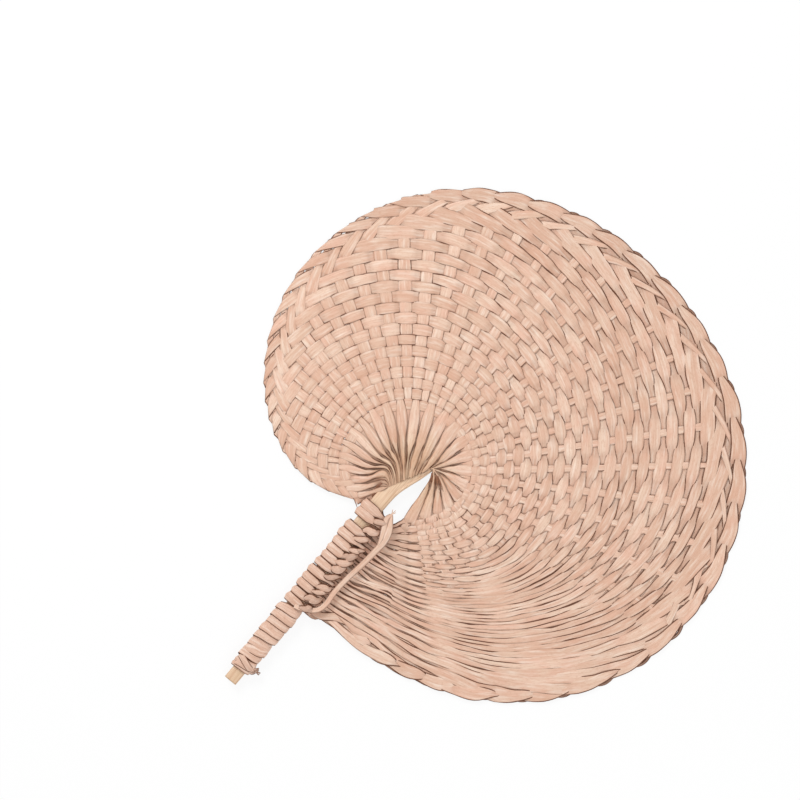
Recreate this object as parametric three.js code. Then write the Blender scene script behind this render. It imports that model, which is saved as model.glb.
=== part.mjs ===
// A woven palm leaf hand fan, lying face up. Millimetres, +Z up, the handle along -Y.
// One palm leaf makes it. The split stalk is the handle stick, and the leaf's pleats are slit into strips.
// Each strip leaves the hub as a rib, folds over at the rim and runs on clockwise round the hub as a weft,
// over and under every later rib. The wefts end on the right of the stick, where a lashing ties them down.
import * as THREE from "three";

// The stick, which is the split leaf stalk, and its round top, the hub
const STICK_WIDTH = 10;
const STICK_END_WIDTH = 9;
const STICK_THICKNESS = 5;
const STICK_EDGE = 0.6;
const STICK_FREE_END = 11;
const HUB_RADIUS = 6;
const HUB_OFFSET = 2.7;
const NECK_ANGLE = 5;

// The blade. Bearings run clockwise about the hub's centre, seen from above, from the stick to the first rib,
// on to the last rib and over the last gap back to the stick. These share the whole turn between them, so that
// the blade always leaves room for the stick, and a bearing is in degrees when they add up to 360. Ribs stand
// closest at the first one: the first step is this share of the mean step, and the steps grow evenly from there.
const STRIP_COUNT = 48;
const FIRST_STEP = 0.66;
const FIRST_RIB = 22;
const LAST_RIB = 326;
const LAST_GAP = 34;

// Where the blade ends and where its wefts begin: radii at even steps from the first rib to the last
const RIM_RADII = [41, 76.5, 114.5, 153.5, 184, 201, 212.5, 218, 199.5, 165, 128];
const WEAVE_START_RADII = [34, 36, 37, 37, 37, 36, 33.5, 30.5, 26.5, 25, 29];

// The leaf strips. A rib stands on edge at its root, where the leaf is still pleated.
const RIB_WIDTH = 5.6;
const RIB_SHARE = 0.5;
const RIB_STEP = 30;
const WEFT_WIDTH = 7;
const STRIP_THICKNESS = 0.5;
const PLEAT_HEIGHT = 3;
const PLEAT_LENGTH = 17;
const FOLD_EASE = 0.5;

// How the blade droops from the stick to the rim
const DROOP_WIDTH = 90;
const RIM_HEIGHT = 0.72;

// The lashing that ties the weft ends to the stick. Its turns pass between slots that hold the weft ends,
// which lie there in pairs, one above the other.
const LASH_START = 34;
const LASH_PITCH = 6.5;
const LASH_NARROW = 2;
const PAIRS_PER_SLOT = 2;
const TAIL_LENGTH = 6.2;
const SLOT_MOUTH = 2.5;

// The wrap round the grip and the knot that ends it
const WRAP_THICKNESS = 1.6;
const WRAP_FLAT = 0.8;
const GRIP_PITCH = 5.7;
const GRIP_TURNS = 8;
const KNOT_PITCH = 3.4;
const KNOT_TURNS = 2;
const KNOT_TAIL = 6;

// Under the stick a wrap slants from one turn to the next: the shares of the way across where it starts and ends
const LEAD_SHARE = 0.7;
const END_SHARE = 0.15;

// The chain of hitches along the lashing, and the loose strand beside it
const HITCH_INSET = 3;
const HITCH_RADIUS = 1.7;
const HITCH_NECK = 1.1;
const HITCH_SIDES = 6;
const HITCH_STEPS = 4;
const TIE_WIDTH = 3.4;
const TIE_THICKNESS = 1.2;
const TIE_BOW = 3;
const TIE_STEPS = 12;

// Clearances between pieces, between strips side by side and between the turns of a wrap
const CLEARANCE = 0.3;
const STRIP_GAP = 0.4;
const TURN_GAP = 0.8;

// Sizes that follow from those above
const { clamp, lerp } = THREE.MathUtils;
const UP = new THREE.Vector3(0, 0, 1);
const HUB = new THREE.Vector2(HUB_OFFSET, 0);
const RADIANS = (2 * Math.PI) / (LAST_RIB + LAST_GAP);
const ROOT_RADIUS = HUB_RADIUS + CLEARANCE;
const STICK_HEIGHT = WRAP_THICKNESS + CLEARANCE + STICK_THICKNESS / 2;
const WRAP_OFFSET = CLEARANCE + WRAP_THICKNESS / 2;
const WRAP_CORNER = STICK_EDGE + WRAP_OFFSET;
const CORNER_STEPS = 2;
const SLANT_STEPS = 3;
const RINGS_PER_TURN = 4 * (CORNER_STEPS + 1) + SLANT_STEPS - 1;
const SLOT_COUNT = Math.ceil(STRIP_COUNT / 2 / PAIRS_PER_SLOT);
const SLOT_ROOM = LASH_PITCH - LASH_NARROW - 2 * CLEARANCE;
const PAIR_PITCH = (SLOT_ROOM + STRIP_GAP) / PAIRS_PER_SLOT;
const LAYER_OFFSET = (STRIP_THICKNESS + STRIP_GAP) / 2;
const LASH_REACH = STICK_WIDTH / 2 + CLEARANCE + TAIL_LENGTH;
const LASH_WIDTH = LASH_PITCH - TURN_GAP;
const LASH_END = LASH_START + SLOT_COUNT * LASH_PITCH;
const GRIP_WIDTH = GRIP_PITCH - TURN_GAP;
const GRIP_START = LASH_END + (LASH_WIDTH + GRIP_WIDTH) / 2 + TURN_GAP;
const GRIP_END = GRIP_START + (GRIP_TURNS - 1) * GRIP_PITCH;
const KNOT_WIDTH = KNOT_PITCH - TURN_GAP;
const KNOT_START = GRIP_END + (GRIP_WIDTH + KNOT_WIDTH) / 2 + TURN_GAP;
const KNOT_END = KNOT_START + (KNOT_TURNS - 1) * KNOT_PITCH;
const STICK_REACH = KNOT_END + KNOT_WIDTH / 2 + STICK_FREE_END;
const STICK_TAPER = (STICK_WIDTH - STICK_END_WIDTH) / 2 / STICK_REACH;

function leafMaterial() {
  return new THREE.MeshStandardMaterial({ color: 0xe0bd9f, roughness: 0.62, metalness: 0 });
}

function stalkMaterial() {
  return new THREE.MeshStandardMaterial({ color: 0xd8b57e, roughness: 0.55, metalness: 0 });
}

// Unit vectors in plan at a bearing: away from the hub, and clockwise round it
function heading(bearing) {
  const angle = bearing * RADIANS;
  return new THREE.Vector2(-Math.sin(angle), -Math.cos(angle));
}

function clockwise(bearing) {
  const outward = heading(bearing);
  return new THREE.Vector2(outward.y, -outward.x);
}

function planPoint(bearing, radius) {
  return heading(bearing).multiplyScalar(radius).add(HUB);
}

// The smooth curve through a list of radii, read at a bearing
function radiusAt(radii, bearing) {
  const last = radii.length - 1;
  const place = ((bearing - FIRST_RIB) / (LAST_RIB - FIRST_RIB)) * last;
  const start = clamp(Math.floor(place), 0, last - 1);
  const t = place - start;
  const at = (k) => radii[clamp(start + k, 0, last)];
  const rise = at(1) - at(0);
  const slopeIn = (at(1) - at(-1)) / 2;
  const slopeOut = (at(2) - at(0)) / 2;
  const square = 3 * rise - 2 * slopeIn - slopeOut;
  const cubic = slopeIn + slopeOut - 2 * rise;
  return at(0) + t * (slopeIn + t * (square + t * cubic));
}

function stickHalfWidth(distance) {
  return STICK_WIDTH / 2 - STICK_TAPER * distance;
}

// Height of the blade's middle surface, highest along the stick
function bladeHeight(point) {
  const nearest = clamp(point.y, -STICK_REACH, 0);
  const away = Math.hypot(point.x, point.y - nearest);
  return RIM_HEIGHT + (STICK_HEIGHT - RIM_HEIGHT) / (1 + (away / DROOP_WIDTH) ** 2);
}

// A section of a swept piece: its [right, up] corners run counterclockwise for one who looks along the sweep
function ringAt(centre, right, up, corners) {
  return corners.map(([a, b]) => centre.clone().addScaledVector(right, a).addScaledVector(up, b));
}

// A closed solid through rings that have the same number of points
function sweep(rings) {
  const sides = rings[0].length;
  const last = (rings.length - 1) * sides;
  const faces = [];
  for (let side = 2; side < sides; side++) {
    faces.push(0, side - 1, side);
    faces.push(last, last + side, last + side - 1);
  }
  for (let start = 0; start < last; start += sides) {
    for (let side = 0; side < sides; side++) {
      const a = start + side;
      const b = start + ((side + 1) % sides);
      faces.push(a, a + sides, b + sides);
      faces.push(a, b + sides, b);
    }
  }
  const geometry = new THREE.BufferGeometry().setFromPoints(rings.flat());
  geometry.setIndex(faces);
  geometry.computeVertexNormals();
  return geometry;
}

// The section of a flat strip that runs along a direction in plan
function stripRing(point, height, direction, width, thickness) {
  const centre = new THREE.Vector3(point.x, point.y, height);
  const right = new THREE.Vector3(direction.y, -direction.x, 0);
  const a = width / 2;
  const b = thickness / 2;
  return ringAt(centre, right, UP, [[-a, -b], [a, -b], [a, b], [-a, b]]);
}

function ribBearing(rib) {
  const share = rib / (STRIP_COUNT - 1);
  return lerp(FIRST_RIB, LAST_RIB, share * lerp(FIRST_STEP, 1, share));
}

function ribSpacing(rib, radius) {
  return radius * RADIANS * (ribBearing(rib + 0.5) - ribBearing(rib - 0.5));
}

function ribWidth(rib, radius) {
  return Math.min(RIB_WIDTH, RIB_SHARE * ribSpacing(rib, radius));
}

// How far a weft rises or sinks to clear the rib that it crosses
function weaveHeight(rib, radius) {
  return (STRIP_THICKNESS + CLEARANCE) / (1 - ribWidth(rib, radius) / ribSpacing(rib, radius));
}

// Wefts share the room between the weave's start and the rim evenly, and a new one joins at each rib
function weftPitch(rib) {
  const bearing = ribBearing(rib);
  return (radiusAt(RIM_RADII, bearing) - radiusAt(WEAVE_START_RADII, bearing)) / (rib + 1);
}

function weftRadius(index, rib) {
  return radiusAt(WEAVE_START_RADII, ribBearing(rib)) + (index + 1) * weftPitch(rib);
}

function weftWidth(rib) {
  return Math.min(WEFT_WIDTH, weftPitch(rib) - STRIP_GAP);
}

// Distance down the stick of the slot that a weft ends in
function slotDistance(index) {
  const pair = Math.floor(index / 2);
  const slot = Math.floor(pair / PAIRS_PER_SLOT);
  const place = (pair % PAIRS_PER_SLOT) - (PAIRS_PER_SLOT - 1) / 2;
  return LASH_START + (slot + 0.5) * LASH_PITCH + place * PAIR_PITCH;
}

// The sections of a weft after its fold: one at every later rib, square to that rib, and two in its slot
function weftRings(index) {
  const rings = [];
  for (let rib = index + 1; rib < STRIP_COUNT; rib++) {
    const bearing = ribBearing(rib);
    const radius = weftRadius(index, rib);
    const point = planPoint(bearing, radius);
    const side = (rib - index) % 2 ? 1 : -1;
    const height = bladeHeight(point) + side * weaveHeight(rib, radius);
    rings.push(stripRing(point, height, clockwise(bearing), weftWidth(rib), STRIP_THICKNESS));
  }
  const distance = slotDistance(index);
  const layer = (STRIP_COUNT - index) % 2 ? -1 : 1;
  const height = STICK_HEIGHT + layer * LAYER_OFFSET;
  const toStick = new THREE.Vector2(-1, 0);
  for (const x of [LASH_REACH + SLOT_MOUTH, stickHalfWidth(distance) + CLEARANCE]) {
    const point = new THREE.Vector2(x, -distance);
    rings.push(stripRing(point, height, toStick, PAIR_PITCH - STRIP_GAP, STRIP_THICKNESS));
  }
  return rings;
}

// One leaf strip: the pleated root, the flat rib, the fold at the rim and the weft
function leafStrip(index) {
  const bearing = ribBearing(index);
  const outward = heading(bearing);
  const onward = clockwise(bearing);
  const rim = radiusAt(RIM_RADII, bearing);
  const ribRing = (radius, thickness) => {
    const point = planPoint(bearing, radius);
    return stripRing(point, bladeHeight(point), outward, ribWidth(index, radius), thickness);
  };
  const rings = [ribRing(ROOT_RADIUS, PLEAT_HEIGHT)];
  const flatStart = ROOT_RADIUS + PLEAT_LENGTH;
  const foldStart = rim - weftWidth(index) / 2 - FOLD_EASE;
  const steps = Math.max(1, Math.ceil((foldStart - flatStart) / RIB_STEP));
  for (let step = 0; step <= steps; step++) {
    rings.push(ribRing(flatStart + ((foldStart - flatStart) * step) / steps, STRIP_THICKNESS));
  }
  const fold = planPoint(bearing, rim).addScaledVector(onward, ribWidth(index, rim) / 2 + FOLD_EASE);
  rings.push(stripRing(fold, bladeHeight(fold), onward, weftWidth(index), STRIP_THICKNESS));
  return sweep([...rings, ...weftRings(index)]);
}

// The stick, with a neck between the first and last ribs and a round hub that the ribs stand round
function handleStick() {
  const halfEnd = STICK_END_WIDTH / 2;
  const hubStart = -Math.acos((STICK_WIDTH / 2 - HUB_OFFSET) / HUB_RADIUS);
  const neck = heading(FIRST_RIB - NECK_ANGLE);
  const shoulder = (STICK_WIDTH / 2 + HUB_OFFSET) / (STICK_TAPER * -neck.y - neck.x);
  const shoulderPoint = neck.clone().multiplyScalar(shoulder).add(HUB);
  const outline = new THREE.Shape();
  outline.moveTo(-halfEnd, -STICK_REACH);
  outline.lineTo(halfEnd, -STICK_REACH);
  outline.absarc(HUB.x, HUB.y, HUB_RADIUS, hubStart, neck.angle(), false);
  outline.lineTo(shoulderPoint.x, shoulderPoint.y);
  outline.closePath();
  const geometry = new THREE.ExtrudeGeometry(outline, {
    depth: STICK_THICKNESS - 2 * STICK_EDGE,
    bevelThickness: STICK_EDGE,
    bevelSize: STICK_EDGE,
    bevelOffset: -STICK_EDGE,
    bevelSegments: 2,
    curveSegments: 24,
  });
  return geometry.translate(0, 0, STICK_HEIGHT - STICK_THICKNESS / 2 + STICK_EDGE);
}

// The corners of a wrap's section, with flat faces against and away from the stick
function wrapCorners(width) {
  const half = WRAP_THICKNESS / 2;
  const edge = width / 2;
  const flat = edge * WRAP_FLAT;
  return [[half, -flat], [half, flat], [0, edge], [-half, flat], [-half, -flat], [0, -edge]];
}

// A strip wound round the stick: up its right side, over it to the left, down, and slanting on below it
function wrapRings({ turns, pitch, start, width, narrow, right, tail }) {
  const along = new THREE.Vector3(0, -1, 0);
  const down = -Math.PI / 2;
  const high = STICK_THICKNESS / 2 + WRAP_OFFSET - WRAP_CORNER;
  const ring = (x, distance, z, angle, breadth) => {
    const out = new THREE.Vector3(Math.cos(angle), 0, Math.sin(angle));
    const centre = new THREE.Vector3(x, -distance, STICK_HEIGHT + z).addScaledVector(out, WRAP_CORNER);
    return ringAt(centre, out, along, wrapCorners(breadth));
  };
  const leftAt = (distance) => WRAP_CORNER - WRAP_OFFSET - stickHalfWidth(distance);
  const rightAt = (distance) => right(distance) - WRAP_CORNER;
  const slantRing = (distance, share) => {
    const x = lerp(leftAt(distance), rightAt(distance), share);
    return ring(x, distance + share * pitch, -high, down, lerp(width, narrow, share));
  };
  const rings = [slantRing(start - pitch, LEAD_SHARE)];
  for (let turn = 0; turn < turns; turn++) {
    const distance = start + turn * pitch;
    for (let step = 1; turn > 0 && step < SLANT_STEPS; step++) {
      rings.push(slantRing(distance - pitch, step / SLANT_STEPS));
    }
    const corners = [
      [rightAt(distance), -high, narrow],
      [rightAt(distance), high, narrow],
      [leftAt(distance), high, width],
      [leftAt(distance), -high, width],
    ];
    corners.forEach(([x, z, breadth], corner) => {
      for (let step = 0; step <= CORNER_STEPS; step++) {
        const angle = down + (corner + step / CORNER_STEPS) * (Math.PI / 2);
        rings.push(ring(x, distance, z, angle, breadth));
      }
    });
  }
  rings.push(slantRing(start + (turns - 1) * pitch, tail));
  return rings;
}

// The least distance between points of rings that lie more than half a turn apart along the strip
function leastGap(rings) {
  let least = Infinity;
  rings.forEach((ring, k) => {
    for (const other of rings.slice(k + 1 + RINGS_PER_TURN / 2)) {
      for (const a of ring) {
        for (const b of other) least = Math.min(least, a.distanceTo(b));
      }
    }
  });
  return least;
}

// A wrap's solid, after its own turns are measured for room
function wrap(name, sizes) {
  const rings = wrapRings(sizes);
  console.log(`${name}: ${sizes.turns} turns, least gap to itself ${leastGap(rings).toFixed(2)} mm`);
  return sweep(rings);
}

function lashing() {
  return wrap("lashing", {
    turns: SLOT_COUNT + 1,
    pitch: LASH_PITCH,
    start: LASH_START,
    width: LASH_WIDTH,
    narrow: LASH_NARROW,
    right: () => LASH_REACH,
    tail: END_SHARE,
  });
}

function gripWrap() {
  return wrap("grip_wrap", {
    turns: GRIP_TURNS,
    pitch: GRIP_PITCH,
    start: GRIP_START,
    width: GRIP_WIDTH,
    narrow: GRIP_WIDTH,
    right: (distance) => stickHalfWidth(distance) + WRAP_OFFSET,
    tail: END_SHARE,
  });
}

function endKnot() {
  const side = stickHalfWidth(KNOT_END) + WRAP_OFFSET;
  return wrap("end_knot", {
    turns: KNOT_TURNS,
    pitch: KNOT_PITCH,
    start: KNOT_START,
    width: KNOT_WIDTH,
    narrow: KNOT_WIDTH,
    right: (distance) => stickHalfWidth(distance) + WRAP_OFFSET,
    tail: 1 + (WRAP_CORNER + KNOT_TAIL) / (2 * (side - WRAP_CORNER)),
  });
}

// The hitches that lock the lashing's turns to each other, one on top of each turn
function hitchRow() {
  const height = 2 * STICK_HEIGHT + CLEARANCE + HITCH_RADIUS;
  const right = new THREE.Vector3(-1, 0, 0);
  const rings = [];
  for (let step = 0; step <= SLOT_COUNT * HITCH_STEPS; step++) {
    const swell = 0.5 + 0.5 * Math.cos((step / HITCH_STEPS) * 2 * Math.PI);
    const radius = HITCH_NECK + (HITCH_RADIUS - HITCH_NECK) * swell;
    const distance = LASH_START + (step * LASH_PITCH) / HITCH_STEPS;
    const centre = new THREE.Vector3(LASH_REACH - HITCH_INSET, -distance, height);
    const corners = [];
    for (let side = 0; side < HITCH_SIDES; side++) {
      const angle = (side / HITCH_SIDES) * 2 * Math.PI;
      corners.push([radius * Math.cos(angle), radius * Math.sin(angle)]);
    }
    rings.push(ringAt(centre, right, UP, corners));
  }
  return sweep(rings);
}

// The loose strand that bows out beside the lashing, over the weft ends
function tieStrand() {
  const weaveTop = (STRIP_THICKNESS + CLEARANCE) / (1 - RIB_SHARE) + STRIP_THICKNESS / 2;
  const height = STICK_HEIGHT + weaveTop + CLEARANCE + TIE_THICKNESS / 2;
  const seat = LASH_REACH + WRAP_OFFSET + TIE_WIDTH / 2;
  const down = new THREE.Vector2(0, -1);
  const rings = [];
  for (let step = 0; step <= TIE_STEPS; step++) {
    const share = step / TIE_STEPS;
    const bow = TIE_BOW * Math.sin(share * Math.PI);
    const point = new THREE.Vector2(seat + bow, -LASH_START - share * (LASH_END - LASH_START));
    rings.push(stripRing(point, height, down, TIE_WIDTH, TIE_THICKNESS));
  }
  return sweep(rings);
}

function piece(name, geometry, material) {
  const mesh = new THREE.Mesh(geometry, material);
  mesh.name = name;
  return mesh;
}

const pieces = new THREE.Group();
pieces.add(piece("handle_stick", handleStick(), stalkMaterial()));
for (let index = 0; index < STRIP_COUNT; index++) {
  const name = `leaf_strip_${String(index + 1).padStart(2, "0")}`;
  pieces.add(piece(name, leafStrip(index), leafMaterial()));
}
pieces.add(piece("lashing", lashing(), leafMaterial()));
pieces.add(piece("hitch_row", hitchRow(), leafMaterial()));
pieces.add(piece("grip_wrap", gripWrap(), leafMaterial()));
pieces.add(piece("end_knot", endKnot(), leafMaterial()));
pieces.add(piece("tie_strand", tieStrand(), leafMaterial()));

// The origin is under the middle of the fan, on the surface that it lies on
const box = new THREE.Box3().setFromObject(pieces);
const middle = box.getCenter(new THREE.Vector3());
pieces.position.set(-middle.x, -middle.y, -box.min.z);

const palmLeafFan = new THREE.Group();
palmLeafFan.add(pieces);

export default palmLeafFan;
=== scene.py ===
# %% [markdown]
# # A hand fan woven from one palm leaf
# The leaf's stalk is the handle. Its pleats are slit into 48 strips: each leaves the hub as a rib, folds over
# at the rim and runs on clockwise as a weft, over and under the later ribs, until it reaches the handle.
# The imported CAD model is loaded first, as the frame that every piece is measured from.

# %% Load the frame
import math

import bmesh
import bpy
import numpy as np
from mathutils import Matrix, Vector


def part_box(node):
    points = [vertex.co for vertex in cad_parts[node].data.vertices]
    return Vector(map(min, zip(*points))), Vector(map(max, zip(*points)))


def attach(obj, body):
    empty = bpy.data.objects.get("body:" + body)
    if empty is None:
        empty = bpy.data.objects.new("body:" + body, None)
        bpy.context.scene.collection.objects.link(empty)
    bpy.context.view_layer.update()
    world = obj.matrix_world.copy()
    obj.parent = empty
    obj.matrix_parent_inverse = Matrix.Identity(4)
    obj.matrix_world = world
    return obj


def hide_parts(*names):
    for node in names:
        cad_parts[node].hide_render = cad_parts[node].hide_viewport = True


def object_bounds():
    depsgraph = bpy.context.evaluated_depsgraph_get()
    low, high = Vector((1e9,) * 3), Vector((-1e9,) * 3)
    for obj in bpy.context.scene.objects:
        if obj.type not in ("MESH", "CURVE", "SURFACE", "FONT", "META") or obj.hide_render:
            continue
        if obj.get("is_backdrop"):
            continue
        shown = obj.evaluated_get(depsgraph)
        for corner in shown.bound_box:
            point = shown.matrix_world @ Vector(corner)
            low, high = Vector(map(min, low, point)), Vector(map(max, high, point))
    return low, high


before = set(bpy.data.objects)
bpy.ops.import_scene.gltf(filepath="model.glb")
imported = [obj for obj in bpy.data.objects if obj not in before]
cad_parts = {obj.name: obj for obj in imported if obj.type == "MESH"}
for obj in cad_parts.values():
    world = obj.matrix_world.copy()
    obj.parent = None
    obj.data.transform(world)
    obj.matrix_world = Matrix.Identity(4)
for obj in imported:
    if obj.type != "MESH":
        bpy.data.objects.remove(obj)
cad_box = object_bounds()
MM = 0.001
print("CAD box, mm:", [[round(v / MM, 1) for v in corner] for corner in cad_box])

# %% [markdown]
# ## Where things are
# Everything on the blade is placed round the hub, so the hub and the stick are read from the stick's CAD solid.

# %% The hub and the stick
STICK_REACH = 178.25 * MM
HUB_RADIUS = 6 * MM
HUB_OFFSET = 2.7 * MM
stick_low, stick_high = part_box("handle_stick")
HUB = np.array([stick_high.x - HUB_RADIUS, stick_low.y + STICK_REACH])
STICK_X = HUB[0] - HUB_OFFSET
STICK_Z = (stick_low.z + stick_high.z) / 2
print("hub, mm:", (HUB / MM).round(2), "stick axis x, mm:", round(STICK_X / MM, 2))

# %% [markdown]
# A few short sums come back in every step. A bearing turns clockwise from the handle, seen from above.

# %% Short helpers
def smooth(t):
    t = np.clip(t, 0, 1)
    return t * t * (3 - 2 * t)


def mix(a, b, t):
    return a + (b - a) * t


def ramp(value, start, width):
    return smooth((value - start) / width)


def beyond(radius, start, width):
    """From 0 to 1 over a stretch of radius, in millimetres."""
    return ramp(radius, start * MM, width * MM)


def unit(vectors):
    return vectors / np.maximum(np.linalg.norm(vectors, axis=-1, keepdims=True), 1e-12)


def way_along(points):
    steps = np.linalg.norm(np.diff(points, axis=0), axis=1)
    return np.concatenate([[0], np.cumsum(steps)])


def cubic(a, b, slope_in, slope_out, t):
    square = 3 * (b - a) - 2 * slope_in - slope_out
    return a + t * (slope_in + t * (square + t * (slope_in + slope_out - 2 * (b - a))))


def through(values, place):
    """A smooth curve through a list, at places that are counted along it."""
    last = len(values) - 1
    start = np.clip(np.floor(place).astype(int), 0, last - 1)
    t = place - start
    if values.ndim > 1:
        t = t[:, None]
    before, a, b, after = (values[np.clip(start + k, 0, last)] for k in (-1, 0, 1, 2))
    return cubic(a, b, (b - before) / 2, (after - a) / 2, t)


def bell(value, width):
    return np.exp(-((value / width) ** 2))


def mm(values):
    return (np.asarray(values) / MM).round(1).tolist()


def heading(bearing):
    return np.stack([-np.sin(bearing), -np.cos(bearing)], axis=-1)


print("a bearing of 90 degrees points to:", heading(math.pi / 2).round(3))

# %% [markdown]
# ## The weaver's map
# The weave has two counts. Going round the hub, ribs are counted from the first one, and they stand closest
# there. Going in from the rim, rows are counted from 0. A rib count gives a bearing, and a row a radius.

# %% Ribs and bearings
STRIP_COUNT = 48
FIRST_STEP = 0.66
FIRST_RIB = math.radians(22)
LAST_RIB = math.radians(326)


def turned(rib):
    """The share of the blade that lies before a rib."""
    share = np.asarray(rib, float) / (STRIP_COUNT - 1)
    return share * mix(FIRST_STEP, 1, share)


def bearing_of(rib):
    return mix(FIRST_RIB, LAST_RIB, turned(rib))


def past(rib, start, width):
    """From 0 to 1 over a stretch of bearing, in degrees."""
    return ramp(np.degrees(bearing_of(rib)), start, width)


def by_bearing(rib, bearings, values):
    return np.interp(np.degrees(bearing_of(rib)), bearings, values)


rib_steps = np.degrees(np.diff(bearing_of(np.arange(STRIP_COUNT))))
print("steps between ribs, degrees:", rib_steps[0].round(1), "to", rib_steps[-1].round(1))

# %% [markdown]
# A rib leans over near the rim and lies along it for almost three ribs before it folds, which makes the plaited
# border. From there its weft moves in by one row for each strip that folds after it.

# %% Leaning and folding
LEAN_RIBS = 2.7
LEAN_GROWTH = 7
LEAN_ROWS = 3.2
LEAN_POWER = 1.35


def lean(strip):
    return LEAN_RIBS * smooth(np.asarray(strip, float) / LEAN_GROWTH)


def lean_share(row):
    return np.clip(1 - row / LEAN_ROWS, 0, 1) ** LEAN_POWER


STRIPS = np.linspace(0, STRIP_COUNT + 3, 500)
FOLD_RIBS = STRIPS + lean(STRIPS)


def fold_rib(strip):
    return float(strip + lean(strip))


def folded(rib):
    return np.interp(rib, FOLD_RIBS, STRIPS)


print("strip 20 folds at rib:", fold_rib(20))

# %% [markdown]
# The blade is lopsided, so its rim and its innermost row are curves through short lists. The rows nearest the rim
# lie wider apart where the border strips are broad, and the lower rows are packed.

# %% The rim and the rows
RIM_RADII = np.array([41, 76.5, 114.5, 153.5, 184, 201, 212.5, 218, 199.5, 165, 128, 100]) * MM
WEAVE_START_RADII = np.array([34, 36, 37, 37, 37, 36, 33.5, 30.5, 26.5, 25, 29, 34]) * MM
STATIONS = 10
INSET_BEARINGS = [22, 130, 190, 215, 235, 265, 290, 308, 330, 350]
RIM_INSETS = np.array([2.2, 2.2, 1.2, -0.9, 1.6, -0.7, 0.8, 3.4, 0.6, 1.4]) * MM
SPREAD_BEARINGS = [22, 120, 150, 195, 350]
SPREADS = [0.0, 0.0, -0.3, 0.8, 0.8]
SPREAD_ROWS = 2.0
PACKING = 0.3
PACKED_SIDE = (245, 40)
OUTER_ROW = 0.8


def along_list(values, rib):
    return through(values, turned(rib) * STATIONS)


def spaced(row, spread):
    return row + spread * (1 - np.exp(-row / SPREAD_ROWS))


def blade_radius(rib, row):
    rib, row = np.asarray(rib, float), np.maximum(row, 0)
    rim = along_list(RIM_RADII, rib) - by_bearing(rib, INSET_BEARINGS, RIM_INSETS)
    spread = by_bearing(rib, SPREAD_BEARINGS, SPREADS)
    share = spaced(row, spread) / spaced(folded(rib) + 1, spread)
    packing = PACKING * past(rib, *PACKED_SIDE)
    woven = np.minimum(share, 1)
    packed = woven + packing * np.sin(2 * np.pi * woven) / (2 * np.pi)
    packed = packed + (1 + packing) * np.maximum(share - 1, 0)
    return rim - (rim - along_list(WEAVE_START_RADII, rib)) * packed


def blade_pitch(rib, row):
    row = np.maximum(row, OUTER_ROW)
    return blade_radius(rib, row - 0.5) - blade_radius(rib, row + 0.5)


print("rows at ribs 10, 20, 30, 45:", [round(float(folded(r)) + 1, 1) for r in (10, 20, 30, 45)])

# %% [markdown]
# ## Over and under
# A weft first floats over two ribs of the border, dips under two, floats over two more and then weaves plainly:
# under one, over one. The crossings of each rib are found once, and both strips that meet there use them,
# so where the weft rises the rib sinks by as much.

# %% The crossings
PLAIN_FROM = 6
CROSSING_SHARPNESS = 1.9


def weft_is_over(step):
    return step in (1, 2, 5) or (step >= PLAIN_FROM and step % 2 == 0)


def rib_crossings(strip):
    row = np.linspace(0, folded(strip) + 3, 1500)
    rib = strip + lean(strip) * lean_share(row)
    steps = np.arange(1, strip + 1)
    rows = np.interp(steps, strip - folded(rib) + row, row)
    return rows, strip + lean(strip) * lean_share(rows)


def wave(places, heights, at):
    """A smooth wave through heights at places: level at each one, and crossing over between them."""
    index = np.clip(np.searchsorted(places, at) - 1, 0, len(places) - 2)
    t = (at - places[index]) / np.maximum(places[index + 1] - places[index], 1e-9)
    return mix(heights[index], heights[index + 1], smooth((t - 0.5) * CROSSING_SHARPNESS + 0.5))


CROSSINGS = [rib_crossings(strip) for strip in range(STRIP_COUNT)]
print("crossings:", sum(len(rows) for rows, _ in CROSSINGS))

# %% [markdown]
# ## The ribbon, made once with Geometry Nodes
# Every strip, wrap and strand of the fan is a thin, slightly crowned ribbon, so one node tree makes them all. It
# sweeps a closed section along a chain of points that carries its own width, direction and crown, and keeps the
# way along and across the ribbon as a UV map, for the grain.

# %% The ribbon tree
SECTION_POINTS = 12
SECTION_SQUARENESS = 1.6
NARROWEST = 1.1 * MM
NODE_FAMILIES = ("ShaderNode", "GeometryNode", "")
RIBBON_INPUTS = {"Path": "Geometry", "Thickness": "Float", "Tint": "Float", "Finish": "Material"}


def set_inputs(node, links):
    """A socket is linked to the input, and any other value is set on it."""
    for socket, source in links.items():
        if isinstance(source, bpy.types.NodeSocket):
            node.id_data.links.new(source, node.inputs[socket])
        else:
            node.inputs[socket].default_value = source
    return node


def node_maker(tree):
    """For one tree: add makes a node, get gives its first output, and maths takes two values together."""

    def add(kind, links={}, **settings):
        family = next(name for name in NODE_FAMILIES if hasattr(bpy.types, name + kind))
        node = tree.nodes.new(family + kind)
        for name, value in settings.items():
            setattr(node, name, value)
        return set_inputs(node, links)

    def get(kind, links={}, **settings):
        return add(kind, links, **settings).outputs[0]

    def maths(operation, a, b, clamp=False):
        return get("Math", {0: a, 1: b}, operation=operation, use_clamp=clamp)

    return add, get, maths


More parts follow.
